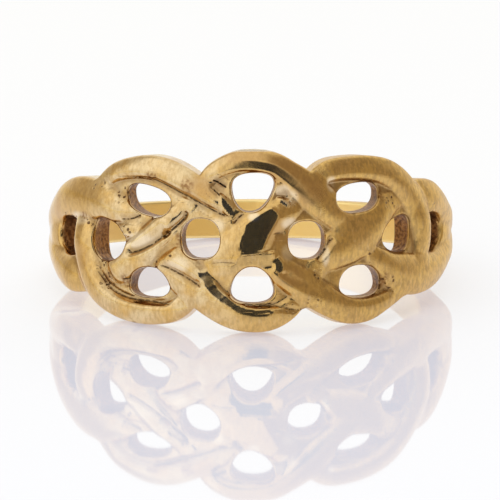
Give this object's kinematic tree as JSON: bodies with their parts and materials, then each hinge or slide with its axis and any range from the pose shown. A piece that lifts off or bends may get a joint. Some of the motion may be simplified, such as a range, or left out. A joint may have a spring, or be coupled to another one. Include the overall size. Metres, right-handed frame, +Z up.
{
  "type": "celtic ring",
  "caption": "Cast gold finger ring with a pierced three-strand plait across the front and a plain narrow band behind.",
  "frame": {"origin": "middle of the ring's bounding box, on the surface that the ring lies on", "axes": "+Z up from the surface, the plait faces -Y, the plain band is towards +Y, +X is the wearer's view from the front to the right"},
  "size_m": [0.0207, 0.0206, 0.0091],
  "materials": {
    "gold": "polished, worn, with brown tarnish in the recesses"
  },
  "bodies": {
    "root": {"ring": "gold"}
  },
  "joints": []
}
